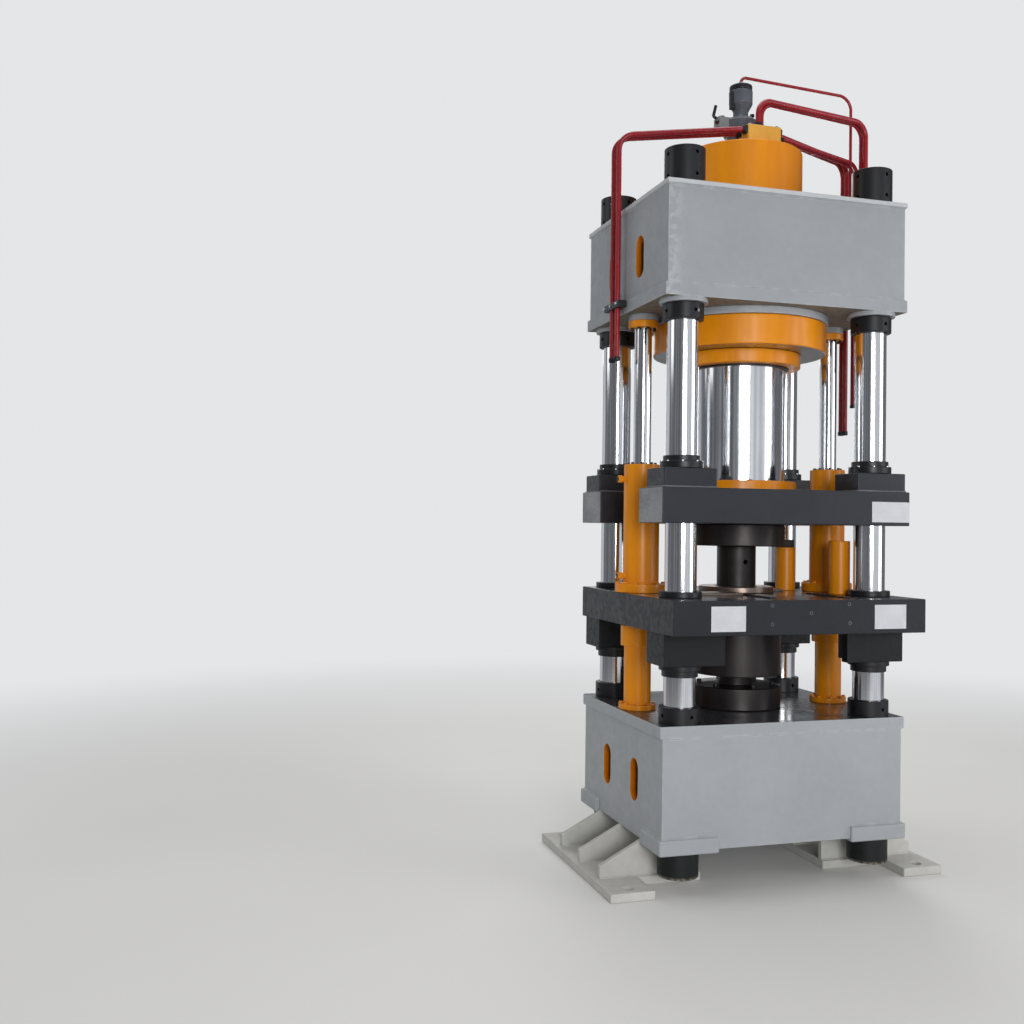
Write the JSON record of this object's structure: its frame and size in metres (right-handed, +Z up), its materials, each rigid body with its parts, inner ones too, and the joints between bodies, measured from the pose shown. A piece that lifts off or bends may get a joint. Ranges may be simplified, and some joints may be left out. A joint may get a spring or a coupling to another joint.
{
  "type": "four-column hydraulic press",
  "caption": "Tall four-column hydraulic forming press with a crown cylinder, sliding beam, floating platen, side lift cylinders, red oil pipes and a bed on ribbed feet.",
  "frame": {"origin": "on the floor, under the middle of the whole outline", "axes": "+Z up, front faces -Y, +X to the right"},
  "size_m": [1.757, 1.19, 4.0654],
  "materials": {
    "frame_grey": "satin light grey paint",
    "slide_slate": "satin dark slate paint",
    "cylinder_orange": "semi-gloss orange paint",
    "chrome_steel": "ground and chromed",
    "blackened_steel": "blackened, oiled",
    "tool_steel": "turned, dark and oily",
    "valve_grey": "grey valve housing",
    "pipe_red": "gloss dark red paint"
  },
  "bodies": {
    "press_frame": {"bed_frame": "frame_grey", "foot_left": "frame_grey", "foot_right": "frame_grey", "column_front_left": "chrome_steel", "column_front_right": "chrome_steel", "column_back_left": "chrome_steel", "column_back_right": "chrome_steel", "crown_nut_front_left": "blackened_steel", "crown_nut_front_right": "blackened_steel", "crown_nut_back_left": "blackened_steel", "crown_nut_back_right": "blackened_steel", "lock_nut_front_left": "blackened_steel", "lock_nut_front_right": "blackened_steel", "lock_nut_back_left": "blackened_steel", "lock_nut_back_right": "blackened_steel", "bed_nut_front_left": "blackened_steel", "bed_nut_front_right": "blackened_steel", "bed_nut_back_left": "blackened_steel", "bed_nut_back_right": "blackened_steel", "base_nut_front_left": "blackened_steel", "base_nut_front_right": "blackened_steel", "base_nut_back_left": "blackened_steel", "base_nut_back_right": "blackened_steel", "crown_frame": "frame_grey", "main_cylinder": "cylinder_orange", "cylinder_gland": "cylinder_orange", "manifold_block": "cylinder_orange", "prefill_valve": "valve_grey", "pipe_clamp": "blackened_steel", "left_pipe_front": "pipe_red", "left_pipe_rear": "pipe_red", "over_pipe_front": "pipe_red", "over_pipe_rear": "pipe_red", "thin_pipe_front": "pipe_red", "thin_pipe_rear": "pipe_red", "right_pipe_front": "pipe_red", "right_pipe_rear": "pipe_red", "pilot_pipe": "pipe_red", "lift_rod_left": "chrome_steel", "lift_rod_right": "chrome_steel", "float_cylinder_left": "cylinder_orange", "float_cylinder_right": "cylinder_orange", "lower_punch": "tool_steel"},
    "slide": {"slide_beam": "slide_slate", "slide_bush_front_left": "blackened_steel", "slide_bush_front_right": "blackened_steel", "slide_bush_back_left": "blackened_steel", "slide_bush_back_right": "blackened_steel", "main_ram": "chrome_steel", "ram_flange": "cylinder_orange", "upper_die": "tool_steel", "punch_stem": "tool_steel"},
    "platen": {"floating_platen": "slide_slate", "die_ring": "tool_steel", "stop_post_right": "cylinder_orange", "stop_post_back": "cylinder_orange", "lift_cylinder_left": "cylinder_orange", "lift_cylinder_right": "cylinder_orange", "float_rod_left": "chrome_steel", "float_rod_right": "chrome_steel"}
  },
  "joints": [
    {"name": "slide_travel", "type": "slide", "parent": "press_frame", "child": "slide", "axis": [0, 0, 1], "range_m": [-0.04, 0.5]},
    {"name": "platen_float", "type": "slide", "parent": "press_frame", "child": "platen", "axis": [0, 0, 1], "range_m": [0, 0.03]}
  ]
}
